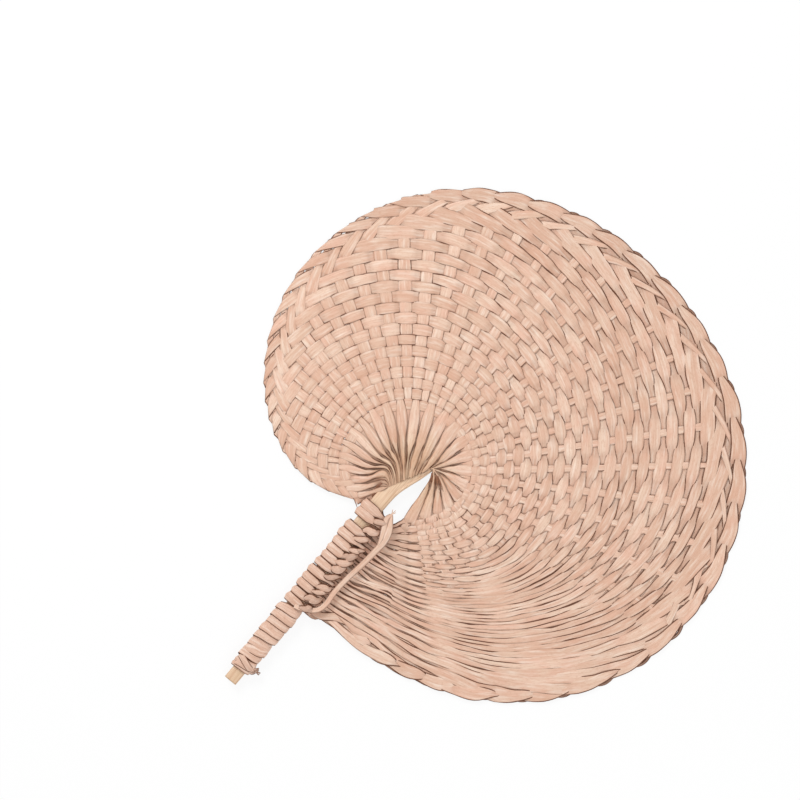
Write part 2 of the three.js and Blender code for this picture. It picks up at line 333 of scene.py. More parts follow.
def ribbon_tree():
    tree = bpy.data.node_groups.new("leaf ribbon", "GeometryNodeTree")
    for name, kind in RIBBON_INPUTS.items():
        tree.interface.new_socket(name, in_out="INPUT", socket_type="NodeSocket" + kind)
    tree.interface.new_socket("Ribbon", in_out="OUTPUT", socket_type="NodeSocketGeometry")
    add, get, maths = node_maker(tree)
    inputs = add("NodeGroupInput").outputs

    def read(name, kind="FLOAT"):
        return get("InputNamedAttribute", {"Name": name}, data_type=kind)

    def keep(geometry, name, value, kind="FLOAT", domain="POINT"):
        links = {"Geometry": geometry, "Name": name, "Value": value}
        return get("StoreNamedAttribute", links, data_type=kind, domain=domain)

    def moved(place, way, factor):
        links = {"Vector": read(way, "FLOAT_VECTOR"), "Scale": factor}
        step = get("VectorMath", links, operation="SCALE")
        return get("VectorMath", {0: place, 1: step}, operation="ADD")

    def inside_of(value):
        return maths("SUBTRACT", 1.0, maths("ABSOLUTE", value, 0.0))

    def squared(value):
        """Pushes a coordinate of the circle outwards, so that the section is a rounded slab."""
        inset = maths("POWER", maths("MAXIMUM", inside_of(value), 0.0), SECTION_SQUARENESS)
        return maths("MULTIPLY", maths("SIGN", value, 0.0), maths("SUBTRACT", 1.0, inset))

    position = get("InputPosition")
    path = get("MeshToCurve", {"Mesh": inputs["Path"]})
    path = keep(path, "spine", position, "FLOAT_VECTOR")
    ring = get("CurvePrimitiveCircle", {"Resolution": SECTION_POINTS, "Radius": 1.0})
    section = keep(ring, "section", position, "FLOAT_VECTOR")
    swept = get("CurveToMesh", {"Curve": path, "Profile Curve": section, "Fill Caps": True})
    parts = add("SeparateXYZ", {0: read("section", "FLOAT_VECTOR")}).outputs
    side, height = squared(parts["X"]), squared(parts["Y"])
    inside = inside_of(side)
    half_thick = maths("MULTIPLY", inputs["Thickness"], 0.5)
    rise = maths("ADD", maths("MULTIPLY", inside, read("crown")), maths("MULTIPLY", height, half_thick))
    offset = maths("MULTIPLY", side, read("half_width"))
    place = moved(moved(read("spine", "FLOAT_VECTOR"), "across", offset), "lift", rise)
    ribbon = get("SetPosition", {"Geometry": swept, "Position": place})
    line_scale = maths("MAXIMUM", read("half_width"), NARROWEST)
    ribbon = keep(ribbon, "edge", maths("MULTIPLY", inside, line_scale))
    ribbon = keep(ribbon, "tint", inputs["Tint"])
    uv = get("CombineXYZ", {"X": read("run"), "Y": offset})
    ribbon = keep(ribbon, "UVMap", uv, "FLOAT2", "CORNER")
    for name in ("spine", "section", "across", "lift", "half_width", "crown", "run"):
        ribbon = get("RemoveAttribute", {"Geometry": ribbon, "Name": name})
    for kind in ("SetShadeSmooth", "RealizeInstances"):
        ribbon = get(kind, {"Geometry": ribbon})
    finished = get("SetMaterial", {"Geometry": ribbon, "Material": inputs["Finish"]})
    add("NodeGroupOutput", {"Ribbon": finished})
    return tree


RIBBON = ribbon_tree()
SOCKETS = {item.name: item.identifier for item in RIBBON.interface.items_tree if item.in_out == "INPUT"}
print("ribbon inputs:", list(SOCKETS))

# %% [markdown]
# A path is a mesh of points and edges. Each point says where the ribbon's width lies (across), where its face
# looks (lift), how wide and crowned it is, and how much it is darkened all over (dive) and in lines along its
# edges (shade). The edge lines are painted shade everywhere, and dive is painted shade on the woven strips.

# %% The numbers of a path
VECTORS = ("across", "lift")
NUMBERS = ("half_width", "crown", "run", "dive", "shade")


def full(value, count):
    return np.broadcast_to(np.asarray(value, float), (count,)).copy()


def run_of(points, half_width, crown, lift=(0, 0, 1), across=None, dive=0.0, shade=0.3, tilt=0.0):
    """The numbers of one path. Without its own across, a ribbon lies square to its path and to lift."""
    points = np.asarray(points, float)
    count = len(points)
    lift = np.broadcast_to(np.asarray(lift, float), points.shape).copy()
    if across is None:
        across = unit(np.cross(np.gradient(points, axis=0), lift))
    across = np.broadcast_to(across, points.shape) + full(tilt, count)[:, None] * lift
    numbers = {"half_width": half_width, "crown": crown, "run": way_along(points), "dive": dive, "shade": shade}
    run = {key: full(value, count) for key, value in numbers.items()}
    return {"points": points, "across": across, "lift": lift, **run}


def path_mesh(name, runs):
    mesh = bpy.data.meshes.new(name)
    points = np.concatenate([run["points"] for run in runs])
    edges, first = [], 0
    for run in runs:
        count = len(run["points"])
        edges += [(first + k, first + k + 1) for k in range(count - 1)]
        first += count
    mesh.from_pydata(points.tolist(), edges, [])
    for key in VECTORS + NUMBERS:
        kind, slot = ("FLOAT_VECTOR", "vector") if key in VECTORS else ("FLOAT", "value")
        values = np.concatenate([run[key] for run in runs]).astype(np.float32)
        mesh.attributes.new(key, kind, "POINT").data.foreach_set(slot, values.ravel())
    return mesh


print("each point carries:", VECTORS + NUMBERS)

# %% [markdown]
# These helpers run the tree on a path, turn the result into a plain mesh with its faces outwards, and tie the
# piece to the frame's root, hiding the CAD nodes that it stands for.

# %% From paths to a finished piece
def outward(mesh):
    shape = bmesh.new()
    shape.from_mesh(mesh)
    bmesh.ops.recalc_face_normals(shape, faces=shape.faces)
    shape.to_mesh(mesh)
    shape.free()


def placed(name, data):
    piece = bpy.data.objects.new(name, data)
    bpy.context.scene.collection.objects.link(piece)
    return piece


def settle(piece, slot, *nodes):
    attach(piece, "root")
    if nodes:
        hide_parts(*nodes)
    return piece


def ribbon(name, runs, finish, thickness, tint, slot, *nodes):
    maker = placed(name + " path", path_mesh(name + " path", runs))
    weave = maker.modifiers.new("ribbon", "NODES")
    weave.node_group = RIBBON
    for key, value in (("Thickness", thickness), ("Tint", tint), ("Finish", finish)):
        weave[SOCKETS[key]] = value
    graph = bpy.context.evaluated_depsgraph_get()
    mesh = bpy.data.meshes.new_from_object(maker.evaluated_get(graph))
    bpy.data.objects.remove(maker)
    mesh.name = name
    outward(mesh)
    return settle(placed(name, mesh), slot, *nodes)


print("sockets:", SOCKETS)

# %% [markdown]
# ## Dried leaf
# Dried palm leaf is a warm, pinkish cream with fine fibres along it, warmer and browner patches and a painted
# sheen of pale dashes. All of these are noises drawn out along the UV map. Each strip has its own tint. Painted
# shade draws thin dark lines along its edges and darkens it where it dips under its neighbour or into the fold
# of a pleat. Round the hub the leaf turns tan.

# %% The leaf's finish
EDGE_LINE = 0.75 * MM
TAN_REACH = (10 * MM, 32 * MM)


def srgb(red, green, blue):
    values = [v / 255 for v in (red, green, blue)]
    linear = [v / 12.92 if v <= 0.04045 else ((v + 0.055) / 1.055) ** 2.4 for v in values]
    return (*linear, 1.0)


# The brown that painted shade darkens the leaf towards.
SHADE_BROWN = srgb(112, 70, 48)
# The pale colour of the painted sheen highlight.
SHEEN_HIGHLIGHT = srgb(255, 240, 226)
ROOT_TAN = srgb(240, 236, 216)


def new_finish(name):
    finish = bpy.data.materials.new(name)
    finish.use_nodes = True
    return finish, finish.node_tree


def blended(add, factor, a, b, kind="MIX"):
    return add("Mix", {0: factor, 6: a, 7: b}, data_type="RGBA", blend_type=kind).outputs[2]


def leaf_finish(name, pale, warm, deep):
    finish, tree = new_finish(name)
    add, get, maths = node_maker(tree)
    shader = tree.nodes["Principled BSDF"]

    def attribute(key):
        return add("Attribute", attribute_name=key).outputs["Fac"]

    def ranged(value, low, high, start=0.0, end=1.0):
        links = {"Value": value, "From Min": low, "From Max": high, "To Min": start, "To Max": end}
        return get("MapRange", links)

    def grain(scale, detail, low, high):
        where = get("Mapping", {"Vector": uv, "Location": shift, "Scale": scale})
        noise = get("TexNoise", {"Vector": where, "Scale": 1.0, "Detail": detail})
        return ranged(noise, low, high)

    uv = get("UVMap", uv_map="UVMap")
    tint = attribute("tint")
    own = maths("MULTIPLY", tint, 37.0)
    shift = get("CombineXYZ", {"X": own, "Y": own, "Z": own})
    patches = grain((60, 120, 1), 3.0, 0.36, 0.64)
    streaks = grain((30, 850, 1), 2.0, 0.34, 0.66)
    fibres = grain((80, 2300, 1), 2.0, 0.3, 0.7)
    specks = grain((500, 1100, 1), 2.0, 0.52, 0.72)
    # Painted highlight: a pale sheen in short dashes along the strip.
    painted_sheen = grain((80, 560, 1), 3.0, 0.5, 0.74)
    colour = blended(add, patches, pale, warm)
    for source, strength in ((tint, 0.4), (streaks, 0.42), (fibres, 0.42), (specks, 0.4), (painted_sheen, 0.45)):
        tone = SHEEN_HIGHLIGHT if source is painted_sheen else deep
        colour = blended(add, maths("MULTIPLY", source, strength), colour, tone)
    where = add("TexCoord").outputs["Object"]
    away = add("VectorMath", {0: where, 1: (*HUB, STICK_Z)}, operation="DISTANCE").outputs["Value"]
    colour = blended(add, ranged(away, *TAN_REACH, 0.75, 0.0), colour, ROOT_TAN, "MULTIPLY")
    # Painted shade: a dark line along each edge, as wide as EDGE_LINE and as strong as the shade number, and an
    # even darkening by the dive number, both towards the shade brown.
    line = ranged(attribute("edge"), 0.0, EDGE_LINE, 1.0, 0.0)
    dark = maths("MULTIPLY", line, attribute("shade"))
    dark = maths("ADD", dark, maths("MULTIPLY", attribute("dive"), 0.2), clamp=True)
    colour = blended(add, dark, colour, SHADE_BROWN)
    rough = ranged(fibres, 0.0, 1.0, 0.48, 0.66)
    bump = get("Bump", {"Height": fibres, "Strength": 0.35, "Distance": 0.12 * MM})
    links = {"Base Color": colour, "Roughness": rough, "Normal": bump, "Specular IOR Level": 0.35}
    set_inputs(shader, links)
    return finish


LEAF = leaf_finish("dried leaf", srgb(250, 225, 204), srgb(244, 202, 180), srgb(206, 158, 130))
WRAP_LEAF = leaf_finish("wrapping leaf", srgb(246, 214, 194), srgb(236, 198, 176), srgb(196, 150, 124))
TORN_LEAF = leaf_finish("torn leaf", srgb(228, 172, 142), srgb(196, 134, 104), srgb(134, 84, 60))
print("finishes:", [m.name for m in (LEAF, WRAP_LEAF, TORN_LEAF)])

# %% [markdown]
# ## The leaf strips
# The blade lies highest along the stick and droops towards the rim. Rib and weft part by the weave's height at
# each crossing. At the bottom the wefts lie so close that they ride over the ribs together, in broad ripples.

# %% Heights on the blade
RIM_HEIGHT = 0.72 * MM
DROOP_WIDTH = 90 * MM
RIPPLE_HEIGHT = 0.65 * MM
RIPPLE_CREST = 286
RIPPLE_LENGTH = 24


def blade_height(plan):
    away_y = plan[:, 1] - np.clip(plan[:, 1], -STICK_REACH, 0)
    away = np.hypot(plan[:, 0] + HUB_OFFSET, away_y)
    return RIM_HEIGHT + (STICK_Z - RIM_HEIGHT) / (1 + (away / DROOP_WIDTH) ** 2)


def weave_height(rib):
    return mix(0.3 * MM, 0.5 * MM, past(rib, 117, 108))


def rippled(rib, radius):
    return past(rib, 256, 18) * beyond(radius, 60, 35)


def ripple(rib):
    return np.cos(2 * np.pi * (np.degrees(bearing_of(rib)) - RIPPLE_CREST) / RIPPLE_LENGTH)


print("weave height at ribs 5 and 40, mm:", mm(weave_height([5, 40])))

# %% [markdown]
# On the right of the blade a rib bows out under the border just before its fold, and painted shade makes it a dark
# edge there. The fold lies a little inside the rim, and after it the weft swells out again. Where a strip is tucked
# under its neighbour, painted shade darkens it, most of all in the plait on the left.

# %% The border
RIM_SIDE = (125, 55)
LOWER_SIDE = (235, 30)
BORDER_BULGE = 4.3 * MM
FOLD_INSET = 4.0 * MM


# How much painted shade a strip gets where it is tucked under its neighbour.
def tuck(rib, row, up):
    plait = bell(row, 2.5) * (1 - past(rib, 120, 50))
    return (1 - np.abs(up)) * mix(0.5, 1.0, plait) * smooth(row / 0.6)


def rim_swell(rib, since):
    """How far a border strip lies outside its row, a number of ribs after the fold."""
    bulge = BORDER_BULGE * (1 - 0.6 * past(rib, *LOWER_SIDE))
    swell = bulge * np.sin(np.pi * np.clip(since / 3, 0, 1)) ** 2
    return past(rib, *RIM_SIDE) * (swell - FOLD_INSET * (1 - smooth(since / 0.9)))


# Where a rib bows out under the border: it moves out by this share, and painted shade darkens it into a dark edge.
def rim_bow(rib, row):
    return past(rib, *RIM_SIDE) * bell(row - 0.5, 0.28)


print("swell of the border at rib 24, mm:", [mm(rim_swell(24, since)) for since in (0, 1, 2, 3)])

# %% [markdown]
# The ribs start along a slanting root line, where the stalk's flared head ends. Those on the left spring from it
# away from the handle and hook over to their own bearing.

# %% A rib's way out of the hub
ROOT_START = 2 * MM
ROOT_BLEND = 45 * MM
ROOT_LEFT = np.array([-5.1, -17.2]) * MM
ROOT_RIGHT = np.array([9.8, 12.0]) * MM
ROOT_BEARINGS = np.radians([22, 55, 80, 102, 120, 140, 160, 185, 205, 326])
ROOT_SHARES = [0.0, 0.1, 0.17, 0.25, 0.32, 0.4, 0.52, 0.76, 0.93, 1.0]
HOOK_WAY = np.array([-0.642, 0.767])
HOOK_RISE = 11 * MM
HOOK_REACH = 1.6 * MM


def rib_plan(bearing, radius):
    share = np.interp(bearing, ROOT_BEARINGS, ROOT_SHARES)[:, None]
    root = mix(ROOT_LEFT, ROOT_RIGHT, share) - heading(bearing) * ROOT_START
    fade = 1 - ramp(radius, ROOT_START, ROOT_BLEND - ROOT_START)
    degrees = np.degrees(bearing)
    hooked = ramp(degrees, 22, 30) * (1 - ramp(degrees, 110, 80))
    rise = 1 - np.exp(-np.maximum(radius - ROOT_START, 0) / HOOK_REACH)
    bow = HOOK_RISE * rise * fade**2 * hooked
    return heading(bearing) * radius[:, None] + root * fade[:, None] + HOOK_WAY * bow[:, None]


def rib_spacing(rib, radius):
    ahead, behind = (rib_plan(bearing_of(rib + step), radius) for step in (0.5, -0.5))
    along = unit(np.gradient(rib_plan(bearing_of(rib), radius), axis=0))
    gap = ahead - behind
    return np.abs(gap[:, 0] * along[:, 1] - gap[:, 1] * along[:, 0])


print("root line, mm:", mm(np.linalg.norm(ROOT_RIGHT - ROOT_LEFT)))

# %% [markdown]
# At its root a rib is a sharp pleat, raised and sunk by turns, with valleys between that are darkened with painted
# shade. Some roots are torn or doubled, so every fourth one is sunk and every fourth one is wide. Further out the
# rib flattens. At the bottom it closes up with its neighbours, and it is narrow where it leans into the border and
# folds.

# %% How a rib lies, and how wide it is
RIB_HALVES = (4.1 * MM, 2.4 * MM)
RIB_FILL = 0.46
PLEAT_UNDER = 0.62
PLEAT_FILLS = (0.56, 0.92)
LEVEL_SIDE = (130, 45)
LEAN_BEARINGS = [22, 130, 200, 350]
LEAN_HALVES = np.array([1.4, 1.5, 0.9, 1.2]) * MM
FOLD_BEARINGS = [22, 115, 150, 200, 350]
FOLD_HALVES = np.array([2.4, 2.4, 1.2, 0.9, 1.0]) * MM


def rooted(radius):
    return 1 - beyond(radius, 8, 9)


def rib_sides(strip, row, radius):
    """From -1 to 1: under and over at the crossings, sunk and raised in the pleats."""
    rows = CROSSINGS[strip][0]
    sides = [-1.0 if weft_is_over(k + 1) else 1.0 for k in range(len(rows))]
    hub_side = 1.0 if strip % 2 else -1.0
    places = np.concatenate([[0], rows, [folded(strip) + 1.7, 400]])
    up = wave(places, np.array([0, *sides, hub_side, hub_side]), row)
    return mix(up, -1, rooted(radius)) if strip % 4 == 3 else up


def rib_half(strip, rib, row, radius, raised, sunk):
    straight = rib_spacing(full(strip, len(row)), radius)
    woven = np.minimum(mix(*RIB_HALVES, past(rib, 143, 61)), RIB_FILL * straight)
    level = past(rib, *LEVEL_SIDE)
    opening = beyond(radius, mix(8, 2, level), mix(22, 9, level))
    pleat = mix(PLEAT_UNDER, mix(*PLEAT_FILLS, opening), raised) * straight
    half = mix(woven, pleat, 1 - beyond(radius, 34, 16))
    if strip % 4 == 1:
        half = mix(half, 1.05 * straight, rooted(radius))
    closed = past(rib, 236, 18) * beyond(radius, 40, 18) * (1 - raised)
    half = mix(half, 0.56 * straight, np.maximum(closed, sunk))
    leaning = smooth(1 - (row - 0.3) / 2.4) * (lean(strip) / LEAN_RIBS)
    half = mix(half, by_bearing(rib, LEAN_BEARINGS, LEAN_HALVES), leaning)
    return mix(half, by_bearing(rib, FOLD_BEARINGS, FOLD_HALVES), smooth(1 - row / 1.4))


print("half of a rib at its fold, mm:", mm(FOLD_HALVES))

# %% [markdown]
# A rib's track collects its plan, height, width and painted shade. Under the imported wefts it sinks out of sight.

# %% A rib, from its root to the fold
STRIP_CROWN = 0.14 * MM
PLEAT_CROWN = 2.0 * MM
PLEAT_RELIEF = 0.7 * MM
PLEAT_REACH = 52 * MM
ROOT_RISE = 2.8 * MM
ROOT_RISE_REACH = 7 * MM
FOLD_GAP = 0.25 * MM
BOW_SHARE = 0.52
# Painted shade: dark edge lines at the fold (FOLD_LINE) and where a strip is tucked under (SLIP_LINE), and a
# darkening of the tucked part (SLIP_DARK).
FOLD_LINE, SLIP_LINE, SLIP_DARK = 1.2, 2.2, 2.5


def painted_valley_shade(rib, radius):
    """How much painted shade darkens a sunk pleat's valley: less at the root itself, on the right and further out.
    """
    level = past(rib, *LEVEL_SIDE)
    valley = mix(1.5, 3.2, beyond(radius, 5, 6)) * mix(1, 1 - 0.75 * level, beyond(radius, 6, 6))
    return valley * mix(1, 0.6, beyond(radius, 15, 10))


def rib_track(strip):
    trial = np.linspace(0, 9 * (folded(strip) + 2), 4000)
    row = np.linspace(np.interp(-ROOT_START, -blade_radius(strip, trial), trial), 0, 700)
    rib = strip + lean(strip) * lean_share(row)
    radius = blade_radius(rib, row)
    up = rib_sides(strip, row, radius)
    raised = 0.5 + 0.5 * up
    pleated = 1 - beyond(radius, 26, 16)
    sunk = np.maximum(rippled(rib, radius), past(rib, 312, 8) * beyond(radius, 32, 10)) * smooth(row / 0.8)
    slip = tuck(rib, row, up) * (1 - pleated)
    bow = rim_bow(rib, row)
    half = rib_half(strip, rib, row, radius, raised, sunk)
    height = mix(up * weave_height(rib), -1.7 * RIPPLE_HEIGHT, sunk)
    height = mix(height, up * PLEAT_RELIEF * ramp(radius, ROOT_START, 4 * MM), pleated)
    root_rise = ROOT_RISE * bell(radius - ROOT_START, ROOT_RISE_REACH)
    swell = rim_swell(rib, 0) * smooth(1 - row / 0.4) + BOW_SHARE * blade_pitch(rib, row) * bow
    pleat_crown = np.minimum(PLEAT_CROWN * mix(0.5, 1.0, raised), half)
    # Painted shade: a sunk pleat darkens in its valley, a rib darkens where it goes under and where it is tucked,
    # it darkens deeply where it is sunk under the packed wefts, and its bow under the border becomes a dark edge.
    dive = (1 - raised) * mix(0.4, painted_valley_shade(rib, radius), pleated)
    dive = mix(dive, 2.0, sunk * smooth((row - 1) / 1.5))
    return dict(
        plan=rib_plan(bearing_of(rib), radius + swell),
        height=height - FOLD_GAP * np.exp(-row / 0.6) + root_rise,
        half=np.maximum(half, 0.4 * MM),
        crown=mix(pleat_crown, STRIP_CROWN, ramp(radius, ROOT_START, PLEAT_REACH)),
        dive=dive + SLIP_DARK * slip**2 + 3 * bow,
        shade=mix(0.46, 0.95, pleated) + FOLD_LINE * np.exp(-row / 0.5) + SLIP_LINE * slip,
        loose=full(0.06 * MM, len(row)),
    )


print("points of a rib's track:", len(rib_track(20)["height"]))

# %% [markdown]
# A weft begins at its fold as a pointed head and broadens into a border strip. Further in it is wide where it is
# on top and narrow where it is squeezed under a rib, most of all on the right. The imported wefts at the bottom
# overlap. After its last rib a weft runs to the stick's side, where the lashing takes it in.

# %% The width and the free end of a weft
BORDER_BEARINGS = [22, 117, 140, 160, 211, 252, 350]
BORDER_HALVES = np.array([2.4, 2.4, 3.4, 5.0, 5.4, 5.6, 4.6]) * MM
LASH_START = 34 * MM
SLOT_PITCH = 6.5 * MM
SLOT_COUNT = 12
SLOT_MOUTH = 15 * MM
SLOT_END = 4.0 * MM


def weft_half(rib, row, radius, up, sunk):
    pitch = blade_pitch(rib, row)
    to_right = past(rib, 125, 100)
    square = past(rib, *LOWER_SIDE) * (1 - beyond(radius, 60, 30))
    spindle = mix(0.02, 0.24, to_right) * (1 - 0.75 * square)
    seam = 0.36 * past(rib, 115, 25) * bell(row - 2.2, 1.3)
    fill = mix(1.05, 1.13, to_right) + seam + spindle * np.where(up > 0, up, 0.9 * up)
    packed_fill = 1.18 + 0.12 * ripple(rib)
    half = mix(0.5 * pitch * fill, 0.5 * pitch * packed_fill, sunk)
    right = past(rib, 130, 50)
    bordered = np.exp(-((row / mix(0.7, 3.0, right)) ** mix(2, 4, right)))
    half = mix(half, by_bearing(rib, BORDER_BEARINGS, BORDER_HALVES), bordered)
    head = mix(0.3, 1.3, right) - 0.55 * past(rib, 285, 25)
    since = np.clip((rib - rib[0]) / head, 0, 1)
    tip = by_bearing(rib, FOLD_BEARINGS, FOLD_HALVES)
    return mix(tip, half, mix(smooth(since), 1 - (1 - since) ** 2, right))


def slot_track(strip, plan):
    distance = LASH_START + (strip + 0.5) / STRIP_COUNT * SLOT_COUNT * SLOT_PITCH
    mouth = np.array([SLOT_MOUTH - HUB_OFFSET, -distance])
    speed = np.linalg.norm(mouth - plan[-1])
    onward, inward = unit(plan[-1] - plan[-2]) * speed, np.array([-1.0, 0.0]) * speed
    curve = cubic(plan[-1], mouth, onward, inward, np.linspace(0, 1, 40)[1:, None])
    end = np.array([SLOT_END - HUB_OFFSET, -distance])
    return np.concatenate([curve, mix(mouth, end, np.linspace(0, 1, 8)[1:, None])])


print("half of a border strip, mm:", mm(BORDER_HALVES))

# %% [markdown]
# A weft's track collects the same numbers as a rib's. Its painted shade lines are strongest in the border on the
# right, painted shade darkens the upper border, and in the ripples the lines hatch the slopes. The ends lie in two
# layers: every second strip runs flat underneath, darkened with painted shade, and the others lie loose on top.

# %% A weft, from the fold to the handle
END_RIB = STRIP_COUNT - 1
LOW_HEIGHT = -0.9 * MM
CALM_TAILS = 4
wobble = np.random.default_rng(46)


def weft_sides(strip, rib):
    steps = range(1, END_RIB - strip + 1)
    ribs = [CROSSINGS[strip + k][1][k - 1] for k in steps]
    sides = [1.0 if weft_is_over(k) else -1.0 for k in steps]
    places = np.concatenate([[rib[0]], ribs, [max(rib[-1], rib[0] + 1) + 0.5]])
    return wave(places, np.array([0.0, *sides, 0.0]), rib)


# Painted shade lines along a weft's edges: strongest in the right border and where it is tucked, and hatching the
# ripples' slopes.
def weft_line(rib, radius, sunk, rimmed, slip):
    plain = mix(0.28, 0.48, beyond(radius, 60, 60))
    border = plain + 6 * rimmed + 0.3 * past(rib, 225, 25) + SLIP_LINE * slip
    hatch = (0.65 - 0.45 * ripple(rib)) * mix(0.5, 2.2, beyond(radius, 80, 50))
    return mix(border, mix(3.0, hatch, past(rib, 268, 14)), sunk)


def joined(first, second):
    return {key: np.concatenate([first[key], second[key]]) for key in first}


def weft_track(strip):
    start = fold_rib(strip)
    leave = max(END_RIB + 0.25, start + 0.35)
    rib = np.linspace(start, leave, int(40 + 14 * (leave - start)))
    row = folded(rib) - strip
    inner = smooth(row / 2)
    radius = blade_radius(rib, row)
    up = weft_sides(strip, rib)
    plan = heading(bearing_of(rib)) * (radius + rim_swell(rib, rib - start))[:, None]
    sunk = rippled(rib, radius) * inner
    slip = tuck(rib, row, up)
    riding = RIPPLE_HEIGHT * (0.25 + ripple(rib)) + wobble.normal(0, 0.12 * MM)
    height = mix(up * weave_height(rib), riding, sunk)
    rimmed = past(rib, 140, 60) * bell(row, 4.5)
    # Painted shade: the upper border is darker, a weft darkens where it goes under a rib, more in the right border,
    # and where it is tucked, and in the ripples the valleys are darker.
    top_border_shade = 0.55 * past(rib, 105, 30) * (1 - past(rib, 180, 40)) * bell(row, 3.5)
    dive = top_border_shade + (0.3 + 0.4 * rimmed) * (1 - up) + SLIP_DARK * slip**2
    dive = mix(dive, 0.12 - 0.12 * ripple(rib), sunk)
    half = weft_half(rib, row, radius, up, sunk)
    # Every second strip's end runs low under the others and is darkened with painted shade; the others get a random
    # darkening.
    if strip % 2:
        low = past(rib, 308, 12) * inner
        height = mix(height, LOW_HEIGHT, low)
        half = mix(half, 0.9 * blade_pitch(rib, row), low)
        dive = mix(dive, 0.5, low)
        end_height, end_half, end_dive = LOW_HEIGHT, 2.4 * MM, 1.0
    else:
        half = mix(half, 0.8 * blade_pitch(rib, row), past(rib, 300, 16) * inner)
        end_height = wobble.uniform(0.2, 1.2) * MM
        end_half = wobble.uniform(1.4, 2.6) * MM
        end_dive = wobble.uniform(0, 0.4)
    fresh = np.exp(-(rib - start) / 0.3)
    tail = slot_track(strip, plan)
    count = len(tail)
    ease = smooth(np.linspace(0, 1.6, count))
    calm = strip % 2 or strip >= STRIP_COUNT - CALM_TAILS
    woven = dict(
        plan=plan,
        height=height + FOLD_GAP * fresh,
        half=half,
        crown=full(STRIP_CROWN, len(rib)),
        dive=dive,
        shade=weft_line(rib, radius, sunk, rimmed, slip) + FOLD_LINE * fresh,
        loose=mix(0.1, 0.4, sunk) * MM,
    )
    free = dict(
        plan=tail,
        height=mix(height[-1], end_height, ease),
        half=mix(half[-1], end_half, np.linspace(0, 1, count)),
        crown=full(STRIP_CROWN, count),
        dive=mix(dive[-1], end_dive, ease),
        shade=full(1.5, count),
        loose=full(0.2 if calm else 0.8, count) * MM,
    )
    return joined(woven, free)


print("the last rib to be crossed:", END_RIB)

# %% [markdown]
# At the rim a strip is folded flat, like paper: its width lies along the crease there, and after it the other
# face looks up. So across turns towards the crease near the fold, and lift is upside down after it.

# %% The flat fold
CREASE_REACH = 1.25


def flat_fold(plan, half, fold):
    arrive, leave = unit(plan[fold] - plan[fold - 3]), unit(plan[fold + 3] - plan[fold])
    crease, inward = unit(arrive + leave), unit(leave - arrive)
    square = crease @ [arrive[1], -arrive[0]]
    square = math.copysign(max(abs(square), 0.42), square)
    along = way_along(plan)
    reach = CREASE_REACH * half[fold] * abs(crease @ arrive / square)
    near = np.clip(1 - np.abs(along - along[fold]) / reach, 0, 1)[:, None]
    ahead = np.concatenate([np.gradient(plan[: fold + 1], axis=0), np.gradient(plan[fold:], axis=0)[1:]])
    side = unit(ahead)[:, ::-1] * [1, -1]
    side[fold + 1 :] *= -1
    across = np.column_stack([mix(side, crease / square, near), np.zeros(len(plan))])
    lift = np.tile([0.0, 0.0, 1.0], (len(plan), 1))
    lift[fold] = [*inward, 0]
    lift[fold + 1 :] *= -1
    return across, lift


print("a crease reaches, in half widths:", CREASE_REACH)

# %% [markdown]
# Each strip is its rib and its weft in one, with evenly spaced points. No strip of a leaf is straight or even, so
# its place, height, width and tilt drift a little along the way, but not at the fold, and its painted shade line
# along the edges drifts all along.

# %% Join and build the strips
STRIP_THICKNESS = 0.3 * MM
POINT_SPACING = 1.5 * MM
FINE_SPACING = 0.6 * MM
FINE_REACH = 26 * MM


def rounded(plan, reach):
    weights = np.hanning(2 * reach + 3)[1:-1]
    weights /= weights.sum()
    padded = np.concatenate([plan[:1]] * reach + [plan] + [plan[-1:]] * reach)
    soft = np.stack([np.convolve(padded[:, k], weights, mode="valid") for k in (0, 1)], axis=1)
    ends = np.minimum(np.arange(len(plan)), np.arange(len(plan))[::-1])
    return mix(plan, soft, smooth(ends / reach)[:, None])


def resampled(plan, along, at, reach):
    return rounded(np.stack([np.interp(at, along, plan[:, k]) for k in (0, 1)], axis=1), reach)


def evenly(track, fine=0.0):
    """The track with evenly spaced points. The first stretch, of length fine, has them closer."""
    along = way_along(track["plan"])
    first = np.linspace(0, fine, int(fine / FINE_SPACING) + 1)[:-1]
    rest = np.linspace(fine, along[-1], int((along[-1] - fine) / POINT_SPACING) + 2)
    at = np.concatenate([first, rest])
    even = {"plan": resampled(track["plan"], along, at, 2)}
    return even | {key: np.interp(at, along, track[key]) for key in track if key != "plan"}


def drift(count, size, every=14):
    knots = wobble.normal(0, size, count // every + 3)
    return np.interp(np.arange(count) / every, np.arange(len(knots)), knots)


def strip_run(strip):
    rib = evenly(rib_track(strip), FINE_REACH)
    weft = evenly(weft_track(strip))
    fold = len(rib["plan"]) - 1
    track = joined(rib, {key: values[1:] for key, values in weft.items()})
    count = len(track["plan"])
    loose = track["loose"]
    across, lift = flat_fold(track["plan"], track["half"], fold)
    calm = smooth(np.abs(np.arange(count) - fold) / 8)
    aside = loose * drift(count, 1.0, 10) * calm
    plan = track["plan"] + unit(across[:, :2]) * aside[:, None]
    height = blade_height(plan) + track["height"] + drift(count, 0.05 * MM) * calm
    half = track["half"] * (1 + drift(count, 0.05, 9) * (1 + 3 * loose / MM) * calm)
    tilt = drift(count, 0.04) * calm * np.minimum(1, 3 * MM / half)
    shade = track["shade"] * np.exp(drift(count, 1.0, 5) * (0.75 + 0.6 * loose / MM) - 0.15)
    crown = track["crown"] * calm * lift[:, 2]
    points = np.column_stack([plan + HUB, np.maximum(height, STRIP_THICKNESS + np.abs(tilt) * half)])
    return run_of(points, half, crown, lift, across, track["dive"], shade, tilt)


